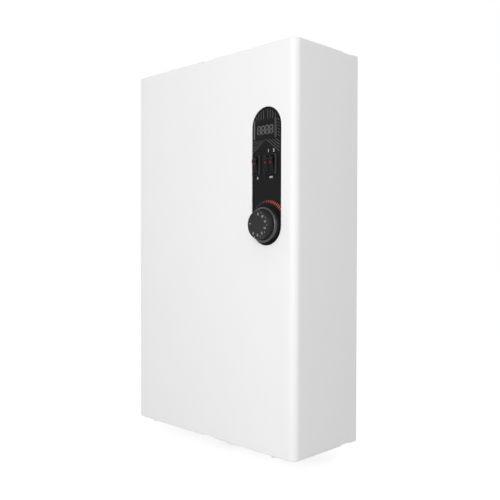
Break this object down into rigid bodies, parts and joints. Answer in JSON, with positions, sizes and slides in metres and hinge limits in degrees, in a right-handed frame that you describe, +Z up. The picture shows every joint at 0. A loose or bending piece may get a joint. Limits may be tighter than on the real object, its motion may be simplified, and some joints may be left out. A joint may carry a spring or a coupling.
{
  "type": "electric heating boiler",
  "caption": "Wall-hung electric heating boiler: white folded casing with rounded edges, black stadium control panel with display, rocker switches and thermostat knob, tank and pump inside.",
  "frame": {"origin": "on the wall plane, midway between the two hanging screws", "axes": "+Z up, +Y into the wall, +X to the right of someone facing the front"},
  "size_m": [0.374, 0.1706, 0.6355],
  "materials": {
    "cover_white": "powder coat, fine",
    "zinc_sheet": "galvanised",
    "bright_steel": "zinc plated",
    "fascia_black": "printed film, satin",
    "switch_black": "moulded, satin",
    "display_glass": "tinted",
    "board_green": "circuit board",
    "red_lens": "clear red lens",
    "knob_grey": "moulded, fine grain",
    "brass": "machined",
    "copper": "drawn copper",
    "tank_steel": "rolled stainless",
    "element_steel": "dull sheath",
    "ceramic": "ceramic",
    "gasket_green": "fibre",
    "cast_grey": "coated casting",
    "motor_red": "stove enamel",
    "black_plastic": "moulded",
    "orange_plastic": "moulded",
    "red_plastic": "moulded",
    "grey_plastic": "moulded",
    "blue_plastic": "moulded",
    "thermostat_steel": "pressed",
    "wire": "PVC insulation"
  },
  "bodies": {
    "chassis": {"back_plate": "zinc_sheet", "top_plate": "zinc_sheet", "bottom_plate": "zinc_sheet", "panel_bracket": "zinc_sheet", "din_rail": "zinc_sheet", "chassis_rivets": "bright_steel", "fascia_nuts": "bright_steel", "m4_screws": "bright_steel", "pump_bolts": "bright_steel", "terminal_screws": "bright_steel", "element_nuts": "bright_steel", "tank_clamps": "bright_steel", "fascia_plate": "fascia_black", "display_bezel": "switch_black", "single_switch_body": "switch_black", "double_switch_body": "switch_black", "display_glass": "display_glass", "display_module": "board_green", "element_flange": "brass", "union_nuts": "brass", "supply_nut": "brass", "locknuts": "brass", "relief_valve_body": "brass", "air_vent": "brass", "earth_stud": "brass", "supply_pipe": "copper", "flow_pipe": "copper", "return_pipe": "copper", "sensor_bulbs": "copper", "capillary_tubes": "copper", "star_bridge": "copper", "heating_tank": "tank_steel", "heating_elements": "element_steel", "element_insulators": "ceramic", "gaskets": "gasket_green", "pump_volute": "cast_grey", "pump_motor": "motor_red", "pump_box": "black_plastic", "cable_gland": "black_plastic", "contactors": "grey_plastic", "terminal_block": "grey_plastic", "thermostat_body": "thermostat_steel", "safety_thermostat": "thermostat_steel", "wiring": "wire"},
    "cover": {"front_cover": "cover_white", "cover_screws": "bright_steel"},
    "dial": {"thermostat_knob": "knob_grey", "thermostat_spindle": "brass"},
    "pump_key": {"pump_rocker": "switch_black", "pump_lens": "red_lens"},
    "stage_1_key": {"stage_1_rocker": "switch_black", "stage_1_lens": "red_lens"},
    "stage_2_key": {"stage_2_rocker": "switch_black", "stage_2_lens": "red_lens"},
    "speed_dial": {"pump_speed_knob": "orange_plastic"},
    "rotor": {"pump_rotor": "bright_steel"},
    "valve_cap": {"relief_valve_cap": "red_plastic"},
    "reset": {"reset_button": "red_plastic"},
    "armature_a": {"armature_1": "blue_plastic"},
    "armature_b": {"armature_2": "blue_plastic"}
  },
  "joints": [
    {"name": "cover_slide", "type": "slide", "parent": "chassis", "child": "cover", "axis": [0, -1, 0], "range_m": [0, 0.25]},
    {"name": "dial_turn", "type": "hinge", "parent": "chassis", "child": "dial", "pos_m": [0.1309, -0.151, -0.2229], "axis": [0, 1, 0], "range_deg": [0, 270]},
    {"name": "pump_key_rock", "type": "hinge", "parent": "chassis", "child": "pump_key", "pos_m": [0.1098, -0.149, -0.1336], "axis": [-1, 0, 0], "range_deg": [0, 12]},
    {"name": "stage_1_key_rock", "type": "hinge", "parent": "chassis", "child": "stage_1_key", "pos_m": [0.1327, -0.149, -0.1336], "axis": [-1, 0, 0], "range_deg": [0, 12]},
    {"name": "stage_2_key_rock", "type": "hinge", "parent": "chassis", "child": "stage_2_key", "pos_m": [0.1429, -0.149, -0.1336], "axis": [-1, 0, 0], "range_deg": [0, 12]},
    {"name": "speed_turn", "type": "hinge", "parent": "chassis", "child": "speed_dial", "pos_m": [0.0181, -0.13, -0.405], "axis": [0, 1, 0], "range_deg": [0, 120]},
    {"name": "rotor_spin", "type": "hinge", "parent": "chassis", "child": "rotor", "pos_m": [0.07, -0.09, -0.405], "axis": [0, 1, 0], "continuous": true},
    {"name": "valve_cap_turn", "type": "hinge", "parent": "chassis", "child": "valve_cap", "pos_m": [-0.06, -0.052, -0.5283], "axis": [1, 0, 0], "range_deg": [0, 90]},
    {"name": "reset_press", "type": "slide", "parent": "chassis", "child": "reset", "axis": [0, 0, 1], "range_m": [0, 0.002], "stiffness_N_per_m": 400, "springref_m": -0.001},
    {"name": "armature_a_pull", "type": "slide", "parent": "chassis", "child": "armature_a", "axis": [0, 1, 0], "range_m": [0, 0.003], "stiffness_N_per_m": 300, "springref_m": -0.001},
    {"name": "armature_b_pull", "type": "slide", "parent": "chassis", "child": "armature_b", "axis": [0, 1, 0], "range_m": [0, 0.003], "stiffness_N_per_m": 300, "springref_m": -0.001}
  ]
}
